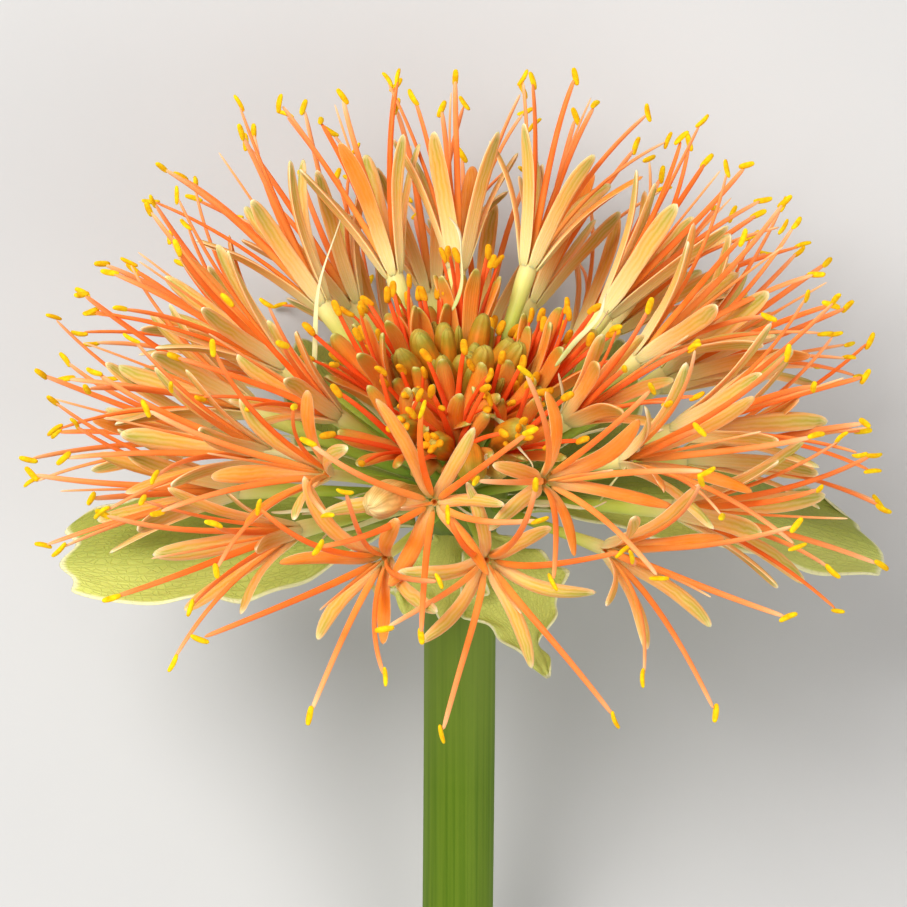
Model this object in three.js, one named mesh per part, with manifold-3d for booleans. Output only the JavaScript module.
// A cut blood lily laid down on a surface. A round head of narrow orange florets, with a knot of young
// florets and buds at its crown, stands on a thick green stem above a whorl of pale green bracts.
// Millimetres, +Z up, resting on the plane z = 0, with +Y from the cut end of the stem to the crown.
import * as THREE from "three";
import { mergeVertices } from "three/addons/utils/BufferGeometryUtils.js";
import Module from "manifold-3d";

const wasm = await Module();
wasm.setup();

// How the flower lies. The head's own frame has its origin where the floret stalks meet, +Z up the stem
// to the crown and -Y to the side that faces away from the surface.
const STEM_LEAN = 25; // degrees between the stem and the surface
const CENTRE_HEIGHT = 58; // from the surface to the head's origin

// Stem
const STEM_RADIUS = 6.3;
const STEM_FLATNESS = 0.88; // its thickness over its width
const STEM_SIDES = 16;
const BOSS_RADIUS = 8.7; // the swollen top that carries the florets and the bracts
const BOSS_BAND = 26; // degrees of the boss that each of its bands of facets spans
const SEAT_GAP = 0.3; // between the boss and what stands on it

// The rings of florets, from the stem up to the crown. polar is in degrees from the crown, lift is how
// much closer to the crown a ring runs on the side that lies on the surface, start is the azimuth of its
// first floret, and growth is 1 for a full-grown floret and near 0 for one that has just opened. The
// florets of a ring that face away from the surface are younger by its lag, and growth strays by up to
// its scatter.
const RINGS = [
  { name: "outer_floret", count: 13, polar: 81, lift: 10, start: 2, growth: 1, lag: 0, scatter: 0 },
  { name: "middle_floret", count: 13, polar: 65, lift: 10, start: 13, growth: 1, lag: 0, scatter: 0 },
  { name: "inner_floret", count: 12, polar: 49, lift: 10, start: 0, growth: 1, lag: 0.66, scatter: 0.04 },
  { name: "young_floret", count: 12, polar: 32, lift: 5, start: 24, growth: 0.25, lag: 0.08, scatter: 0.13 },
];
const AZIMUTH_SCATTER = 2.8; // degrees that a floret may stray along its ring
const POLAR_SCATTER = 2; // degrees that it may stray across it

// A floret, as [just opened, full-grown], measured from the head's origin or from its own throat
const THROAT_DISTANCE = [17, 44];
const MOUTH_RADIUS = [1.9, 2.25];
const TEPAL_LENGTH = [10, 25];
const TEPAL_WIDTH = [3, 3.5];
const FILAMENT_LENGTH = [9, 36];
const TEPAL_LEAN = [24, 30]; // degrees out from the middle of the floret
const FACING_LEAN = 24; // degrees more on a grown floret that faces straight up from the surface
const FACING_SLIMNESS = 0.2; // how much narrower and shorter its tepals are, as a part of their size

// What florets of every age share
const STALK_RADIUS = 0.65; // at the boss
const STALK_CLEARANCE = 1.6;
const TEPAL_THICKNESS = 1;
const FILAMENT_RADIUS = 0.75;
const ANTHER_LENGTH = 3.2;
const ANTHER_RADIUS = 0.75;
const ROOT_DEPTH = 3.4; // of tepals and stamens, below the mouth of the tube
const TEPAL_BASE = 1.2; // from the middle of the tube to where a tepal leaves it
const STAMEN_BASE = 0.6;
const PARTS_OF_SIX = 6; // tepals, and as many stamens
const STAMEN_TURN = 25; // degrees from the middle of a tepal to its stamen, round the floret
const PETAL_GAP = 0.15; // from a tepal or a stamen to the edge of its floret's share of the head
const SURFACE_PRESS = 0.8; // how much closer than that one may lie to the surface

// The places of each organ's rings of corners along it, from its root to its tip
const STEPS = {
  young: { tube: [0, 0.001, 0.999, 1], tepal: [0, 0.6, 1], stamen: [0, 0.88, 0.95, 1] },
  grown: { tube: [0, 0.001, 0.999, 1], tepal: [0, 0.45, 0.85, 1], stamen: [0, 0.4, 0.94, 0.97, 1] },
};
const ANTHER_FROM = 0.945; // of a stamen's length

// The buds crowd on the crown, each a fixed turn on from the last, on a knob that their stalks share
const BUD_COUNT = 14;
const BUD_POLAR = 20; // degrees from the crown to the outermost
const BUD_TURN = 137.5;
const BUD_RADIUS = [2, 2.5]; // of the youngest, in the middle, and of the oldest
const BUD_LENGTH = [19, 25];
const BUD_SCATTER = 2; // how much longer or shorter a bud may stand
const BUD_SHAPE = { steps: [0, 0.45, 0.75, 0.96, 1], girths: [0, 0.45, 1, 0.5, 0] };
const KNOB_HEIGHT = 9;
const KNOB_RADIUS = 4;
const KNOB_SHAPE = { steps: [0, 0.01, 0.4, 0.8, 1], girths: [0, 0.8, 1, 0.85, 0] };

// The bracts, by the azimuth they grow at in degrees from +X. reach and drop place the tip: how far out
// from the stem's axis, and how far below the head's origin. bow lifts the middle of the blade, width is
// half the blade's widest, taper is how much of that it loses at its tip, and roll turns the blade round
// its rib, in degrees.
const BRACTS = [
  { name: "bract_right", azimuth: 9, reach: 76, drop: 17, bow: 16, width: 16, taper: 0.5, roll: 14 },
  { name: "bract_back_right", azimuth: 62, reach: 62, drop: -6, bow: -8, width: 14, taper: 0.6, roll: 0 },
  { name: "bract_back_left", azimuth: 118, reach: 62, drop: -6, bow: -8, width: 14, taper: 0.6, roll: 0 },
  { name: "bract_left", azimuth: 186, reach: 71, drop: 9, bow: 1, width: 16, taper: 0.5, roll: -24 },
  { name: "bract_front_left", azimuth: 256, reach: 21, drop: 14, bow: 2, width: 8, taper: 0.5, roll: 0 },
  { name: "bract_front_right", azimuth: 299, reach: 31, drop: 24, bow: 5, width: 11, taper: 0.8, roll: 10 },
];
const BRACT_THICKNESS = 0.8;
const BRACT_ROOT_POLAR = 118; // degrees down from the crown, on the boss
const BRACT_SHARE = 20; // degrees of the round that half a bract may fill
const BRACT_WAVE = 1.8; // how far its edges rise and fall
const BRACT_FOLD = 0.12; // how far its sides bend down, as a part of half its width
const BRACT_GRID = { columns: 4, rows: 9 };

const COLOURS = {
  stem: 0x5f8a2e,
  bract: 0x93a858,
  outer_floret: 0xf2a068,
  middle_floret: 0xf2a068,
  inner_floret: 0xf08f4e,
  young_floret: 0xe8702a,
  bud_cluster: 0xb88a38,
};

const radians = THREE.MathUtils.degToRad;
const mix = THREE.MathUtils.lerp;
const smoothstep = THREE.MathUtils.smoothstep;
const CROWN = new THREE.Vector3(0, 0, 1);

// The direction that points straight up from the surface, in the head's frame
const UPWARD = new THREE.Vector3(0, -Math.cos(radians(STEM_LEAN)), Math.sin(radians(STEM_LEAN)));

// A source of numbers from -1 to 1 that look random and come out the same in every run
function chanceFrom(seed) {
  let draw = 0;
  return () => {
    draw += 1;
    const value = Math.sin(seed * 12.9898 + draw * 78.233) * 43758.5453;
    return 2 * (value - Math.floor(value)) - 1;
  };
}

function direction(polar, azimuth) {
  const outward = Math.sin(radians(polar));
  const x = outward * Math.cos(radians(azimuth));
  const y = outward * Math.sin(radians(azimuth));
  return new THREE.Vector3(x, y, Math.cos(radians(polar)));
}

// How far an azimuth lies on the side that the flower rests on, from 0 to 1, and on the opposite side
function sidesOf(azimuth) {
  const sine = Math.sin(radians(azimuth));
  return { under: smoothstep(sine, 0.1, 0.9), over: smoothstep(-sine, 0.1, 0.9) };
}

// Where each floret points. The rings run closer to the crown on the side that lies on the surface.
function placeFlorets() {
  return RINGS.flatMap((ring, number) =>
    Array.from({ length: ring.count }, (_, i) => {
      const chance = chanceFrom(100 * number + i);
      const azimuth = ring.start + (360 * i) / ring.count + AZIMUTH_SCATTER * chance();
      const { under, over } = sidesOf(azimuth);
      const points = direction(ring.polar - ring.lift * under + POLAR_SCATTER * chance(), azimuth);
      const growth = ring.growth - ring.lag * over + ring.scatter * chance();
      const name = ring.name + "_" + String(i + 1).padStart(2, "0");
      return { kind: ring.name, name, chance, azimuth, growth, points };
    }),
  );
}

function placeBuds() {
  return Array.from({ length: BUD_COUNT }, (_, i) => {
    const age = Math.sqrt((i + 0.5) / BUD_COUNT);
    const length = mix(...BUD_LENGTH, age) + BUD_SCATTER * chanceFrom(500 + i)();
    return { age, length, turn: BUD_TURN * i, points: direction(BUD_POLAR * age, BUD_TURN * i) };
  });
}

// Each floret keeps to its own share of the head: the wedge of space that is nearer to its own direction
// than to any other's, above the surface and clear of the bracts. The share is a list of planes, each
// with a normal that points out of the share and its distance from the head's origin.
function shareOf(floret, all) {
  const walls = all
    .filter((other) => other !== floret)
    .map((other) => ({ normal: other.points.clone().sub(floret.points).normalize(), distance: 0 }));
  walls.push({ normal: UPWARD.clone().negate(), distance: CENTRE_HEIGHT + SURFACE_PRESS });
  if (floret.kind === "outer_floret") {
    walls.push({ normal: direction(lowestPolar(floret.azimuth) + 90, floret.azimuth), distance: 0 });
  }
  return walls;
}

// How far down from the crown the outer florets may spread at an azimuth: the bracts lie below that
function lowestPolar(azimuth) {
  const { under, over } = sidesOf(azimuth);
  return 90 - 6 * under + 8 * over;
}

// Moves a point into a share, so that it keeps its clearance to every wall
function keepInside(point, walls, clearance) {
  for (let pass = 0; pass < 30; pass++) {
    for (const { normal, distance } of walls) {
      const over = point.dot(normal) - distance + clearance;
      if (over > 0) point.addScaledVector(normal, -over);
    }
  }
}

// Stretches a unit sphere, with its poles on the Y axis, along a curve: its rings go to the places in
// steps, which run from 0 at its lower pole to 1 at the upper. half(t) gives a ring's half width and half
// thickness, and facing is the way its thickness points.
function sweep(sides, curve, steps, facing, half) {
  const blank = new THREE.SphereGeometry(1, sides, steps.length - 1);
  const place = blank.attributes.position;
  for (let i = 0; i < place.count; i++) {
    const ring = Math.round((steps.length - 1) * (1 - Math.acos(place.getY(i)) / Math.PI));
    const t = steps[ring];
    const spot = curve.getPoint(t);
    if (t > 0 && t < 1) {
      const round = Math.hypot(place.getX(i), place.getZ(i));
      const along = curve.getTangent(t);
      const side = new THREE.Vector3().crossVectors(along, facing).normalize();
      const front = new THREE.Vector3().crossVectors(side, along);
      const [width, thickness] = half(t);
      spot.addScaledVector(side, (place.getZ(i) / round) * width);
      spot.addScaledVector(front, (-place.getX(i) / round) * thickness);
    }
    place.setXYZ(i, spot.x, spot.y, spot.z);
  }
  return solid(blank);
}

// A round body on a straight line, whose girths at its steps are parts of its radius
function club(sides, base, tip, radius, { steps, girths }, facing) {
  const girth = (t) => radius * girths[steps.indexOf(t)];
  return sweep(sides, new THREE.LineCurve3(base, tip), steps, facing, (t) => [girth(t), girth(t)]);
}

// Turns a closed geometry into a solid that can be joined with others
function solid(geometry) {
  const bare = new THREE.BufferGeometry();
  bare.setAttribute("position", geometry.attributes.position);
  bare.setIndex(geometry.index);
  const merged = mergeVertices(bare, 1e-4);
  const vertProperties = new Float32Array(merged.attributes.position.array);
  const triVerts = new Uint32Array(merged.index.array);
  return new wasm.Manifold(new wasm.Mesh({ numProp: 3, vertProperties, triVerts }));
}

function geometryOf(body) {
  const { numProp, vertProperties, triVerts } = body.getMesh();
  const interleaved = new THREE.InterleavedBuffer(vertProperties, numProp);
  const geometry = new THREE.BufferGeometry();
  geometry.setAttribute("position", new THREE.InterleavedBufferAttribute(interleaved, 3, 0));
  geometry.setIndex(new THREE.BufferAttribute(triVerts, 1));
  return geometry.toNonIndexed();
}

// Stalk, ovary and flower tube in one, from the boss to the throat
function tube(points, throat, sway, mouth, facing, steps, walls) {
  const base = points.clone().multiplyScalar(BOSS_RADIUS + SEAT_GAP);
  const middle = base.clone().lerp(throat, 0.5).add(sway);
  keepInside(middle, walls, STALK_CLEARANCE);
  const curve = new THREE.QuadraticBezierCurve3(base, middle, throat);
  const radius = (t) => mix(STALK_RADIUS, mouth, t ** 1.5);
  return sweep(PARTS_OF_SIX, curve, steps, facing, (t) => [radius(t), radius(t)]);
}

// The line that a tepal or a stamen follows: from deep in the tube, out of its mouth, and away from its
// middle by the lean
function spray(throat, points, outward, length, lean, base) {
  const root = throat.clone().addScaledVector(points, -ROOT_DEPTH).addScaledVector(outward, base);
  const bend = throat.clone().addScaledVector(points, length / 2);
  bend.addScaledVector(outward, length * (0.05 + 0.15 * Math.sin(lean)) + base);
  const tip = throat.clone().addScaledVector(points, length * Math.cos(lean));
  tip.addScaledVector(outward, length * Math.sin(lean));
  return new THREE.QuadraticBezierCurve3(root, bend, tip);
}

// One tepal: a narrow blade with a keel on its back
function tepal(curve, outward, width, steps, walls) {
  keepInside(curve.v1, walls, width / 2 + PETAL_GAP);
  keepInside(curve.v2, walls, TEPAL_THICKNESS / 2 + PETAL_GAP);
  return sweep(3, curve, steps, outward, () => [width / 2, TEPAL_THICKNESS / 2]);
}

// One stamen: a three-sided filament, with its anther set across the tip
function stamen(curve, outward, steps, walls) {
  keepInside(curve.v1, walls, FILAMENT_RADIUS + PETAL_GAP);
  keepInside(curve.v2, walls, ANTHER_LENGTH / 2 + PETAL_GAP);
  const taper = (t) => FILAMENT_RADIUS * mix(1, 0.6, t);
  return sweep(3, curve, steps, outward, (t) =>
    t > ANTHER_FROM ? [ANTHER_LENGTH / 2, ANTHER_RADIUS] : [taper(t), taper(t)],
  );
}

// A floret in flower: six tepals and six stamens in the mouth of its tube
function openFloret({ growth, points, chance }, walls) {
  const aged = ([opened, grown]) => mix(opened, grown, growth);
  const steps = growth < 0.5 ? STEPS.young : STEPS.grown;
  const throat = points.clone().multiplyScalar(aged(THROAT_DISTANCE) + 1.5 * chance());
  const turn = 60 * chance();
  const sway = new THREE.Vector3(chance(), chance(), chance()).multiplyScalar(1.5 * growth);
  const facing = growth * smoothstep(points.dot(UPWARD), 0.6, 0.95);
  const spread = aged(TEPAL_LEAN) + FACING_LEAN * facing + 6 * chance();
  const slimness = 1 - FACING_SLIMNESS * facing;
  const width = aged(TEPAL_WIDTH) * slimness;
  const across = new THREE.Vector3().crossVectors(CROWN, points).normalize();
  const towards = (degrees) => across.clone().applyAxisAngle(points, radians(turn + degrees));
  const pieces = [tube(points, throat, sway, aged(MOUTH_RADIUS), towards(30), steps.tube, walls)];
  for (let k = 0; k < PARTS_OF_SIX; k++) {
    const outward = towards(60 * k);
    const aside = towards(60 * k + STAMEN_TURN);
    const lean = radians(spread + 5 * chance());
    const length = aged(TEPAL_LENGTH) * slimness + 1.5 * chance();
    const blade = spray(throat, points, outward, length, lean, TEPAL_BASE);
    const reach = aged(FILAMENT_LENGTH) + 2.5 * growth * chance();
    const thread = spray(throat, points, aside, reach, lean * (0.9 + 0.2 * chance()), STAMEN_BASE);
    pieces.push(tepal(blade, outward, width, steps.tepal, walls));
    pieces.push(stamen(thread, aside, steps.stamen, walls));
  }
  return wasm.Manifold.union(pieces);
}

// A closed bud: a six-ribbed club of tepals that still hold together, blunt at the tip
function bud({ age, length, turn, points }, walls) {
  const radius = mix(...BUD_RADIUS, age);
  const base = new THREE.Vector3(KNOB_RADIUS * points.x, KNOB_RADIUS * points.y, BOSS_RADIUS + 1.5);
  const tip = points.clone().multiplyScalar(BOSS_RADIUS + length);
  keepInside(tip, walls, 0.7 * radius);
  return club(PARTS_OF_SIX, base, tip, radius, BUD_SHAPE, direction(90, turn));
}

// All the buds, with the knob at the crown of the boss that their short stalks share
function budCluster(buds, all) {
  const base = CROWN.clone().multiplyScalar(BOSS_RADIUS + SEAT_GAP);
  const top = CROWN.clone().multiplyScalar(BOSS_RADIUS + SEAT_GAP + KNOB_HEIGHT);
  const knob = club(PARTS_OF_SIX, base, top, KNOB_RADIUS, KNOB_SHAPE, direction(90, 0));
  return wasm.Manifold.union([knob, ...buds.map((each) => bud(each, shareOf(each, all)))]);
}

// Gives a waved sheet its thickness. Both faces are split into the same triangles.
function thicken(sheet, { columns, rows }, thickness) {
  sheet.computeVertexNormals();
  const { position, normal } = sheet.attributes;
  const upper = position.count;
  const places = [];
  for (const side of [1, -1]) {
    for (let i = 0; i < upper; i++) {
      const corner = new THREE.Vector3().fromBufferAttribute(position, i);
      const up = new THREE.Vector3().fromBufferAttribute(normal, i);
      places.push(...corner.addScaledVector(up, (side * thickness) / 2));
    }
  }
  const top = [...sheet.index.array];
  const bottom = [];
  for (let i = 0; i < top.length; i += 3) bottom.push(top[i + 2] + upper, top[i + 1] + upper, top[i] + upper);
  const wide = columns + 1;
  const rim = [];
  for (let c = 0; c < columns; c++) rim.push(c);
  for (let r = 0; r < rows; r++) rim.push(r * wide + columns);
  for (let c = columns; c > 0; c--) rim.push(rows * wide + c);
  for (let r = rows; r > 0; r--) rim.push(r * wide);
  const edge = rim.flatMap((a, i) => {
    const b = rim[(i + 1) % rim.length];
    return [a, b, a + upper, b, b + upper, a + upper];
  });
  const blade = new THREE.BufferGeometry();
  blade.setAttribute("position", new THREE.BufferAttribute(new Float32Array(places), 3));
  blade.setIndex([...top, ...bottom, ...edge]);
  return blade;
}

// One bract: a broad, thin, blunt leaf with waved edges, from the underside of the boss
function bract({ azimuth, reach, drop, bow, width, taper, roll }, number) {
  const outward = direction(90, azimuth);
  const root = direction(BRACT_ROOT_POLAR, azimuth).multiplyScalar(BOSS_RADIUS + SEAT_GAP + 0.2);
  const tip = outward.clone().multiplyScalar(reach).addScaledVector(CROWN, -drop);
  const middle = root.clone().lerp(tip, 0.45).addScaledVector(CROWN, bow);
  const rib = new THREE.QuadraticBezierCurve3(root, middle, tip);
  const sheet = new THREE.PlaneGeometry(2, 1, BRACT_GRID.columns, BRACT_GRID.rows);
  const place = sheet.attributes.position;
  for (let i = 0; i < place.count; i++) {
    const across = place.getX(i); // from -1 at one edge to 1 at the other
    const t = place.getY(i) + 0.5; // from 0 at the root to 1 at the tip
    const spot = rib.getPoint(t);
    const along = rib.getTangent(t);
    const turn = radians(roll * Math.min(1, 3 * t));
    const sideways = new THREE.Vector3().crossVectors(outward, CROWN).applyAxisAngle(along, turn);
    const above = new THREE.Vector3().crossVectors(sideways, along).normalize();
    const leaf = width * smoothstep(t, -0.05, 0.42) * (1 - taper * t ** 5);
    const share = Math.hypot(spot.x, spot.y) * Math.tan(radians(BRACT_SHARE));
    const half = Math.min(Math.max(leaf, 3 * (1 - t)), share);
    const wave = BRACT_WAVE * Math.sin(9 * t + 2 * across + number) * Math.sin(Math.PI * t) * across ** 2;
    spot.addScaledVector(sideways, across * half);
    spot.addScaledVector(above, wave - BRACT_FOLD * half * Math.abs(across));
    place.setXYZ(i, ...spot);
  }
  const blade = thicken(sheet, BRACT_GRID, BRACT_THICKNESS);
  const corners = blade.attributes.position;
  for (let i = 0; i < corners.count; i++) {
    const spot = new THREE.Vector3().fromBufferAttribute(corners, i);
    keepClear(spot, i < corners.count / 2);
    corners.setXYZ(i, ...spot);
  }
  return blade;
}

// Moves a corner of a bract below the cone that the outer florets stay above, and above the surface,
// with room for the blade's thickness between its two faces
function keepClear(spot, onTop) {
  const azimuth = THREE.MathUtils.radToDeg(Math.atan2(spot.y, spot.x));
  const ceiling = Math.hypot(spot.x, spot.y) / Math.tan(radians(lowestPolar(azimuth))) - SEAT_GAP;
  spot.z = Math.min(spot.z, onTop ? ceiling : ceiling - BRACT_THICKNESS);
  const height = CENTRE_HEIGHT + spot.dot(UPWARD) - (onTop ? BRACT_THICKNESS : 0);
  if (height < 0) spot.addScaledVector(UPWARD, -height);
}

// The stem with the boss at its top. Its cut end is square, and its lower rim rests on the surface.
function stem() {
  const lean = radians(STEM_LEAN);
  const length = (CENTRE_HEIGHT - STEM_RADIUS * STEM_FLATNESS * Math.cos(lean)) / Math.sin(lean);
  const profile = [new THREE.Vector2(0, -length)];
  for (const share of [1, 0.66, 0.33, 0.12]) profile.push(new THREE.Vector2(STEM_RADIUS, -length * share));
  for (let polar = 5 * BOSS_BAND; polar > 0; polar -= BOSS_BAND) {
    const { x, z } = direction(polar, 0).multiplyScalar(BOSS_RADIUS);
    profile.push(new THREE.Vector2(x, z));
  }
  profile.push(new THREE.Vector2(0, BOSS_RADIUS));
  const round = new THREE.LatheGeometry(profile, STEM_SIDES).rotateX(Math.PI / 2);
  const place = round.attributes.position;
  for (let i = 0; i < place.count; i++) {
    if (place.getZ(i) < -BOSS_RADIUS) place.setY(i, place.getY(i) * STEM_FLATNESS);
  }
  return round;
}

const head = new THREE.Group();

function add(name, kind, geometry) {
  geometry.deleteAttribute("normal");
  geometry.deleteAttribute("uv");
  geometry.computeVertexNormals();
  const material = new THREE.MeshStandardMaterial({ color: COLOURS[kind], roughness: 0.5, metalness: 0 });
  const mesh = new THREE.Mesh(geometry, material);
  mesh.name = name;
  head.add(mesh);
}

add("stem", "stem", stem());
BRACTS.forEach((leaf, number) => add(leaf.name, "bract", bract(leaf, number)));
const florets = placeFlorets();
const buds = placeBuds();
const all = [...florets, ...buds];
for (const floret of florets) {
  add(floret.name, floret.kind, geometryOf(openFloret(floret, shareOf(floret, all))));
}
add("bud_cluster", "bud_cluster", geometryOf(budCluster(buds, all)));

// Lays the head and stem down, then puts the origin under the middle of the whole flower
head.rotation.x = -radians(90 - STEM_LEAN);
const flower = new THREE.Group();
flower.add(head);
flower.updateMatrixWorld(true);
const box = new THREE.Box3().setFromObject(flower, true);
const middle = box.getCenter(new THREE.Vector3());
head.position.set(-middle.x, -middle.y, -box.min.z);

export default flower;
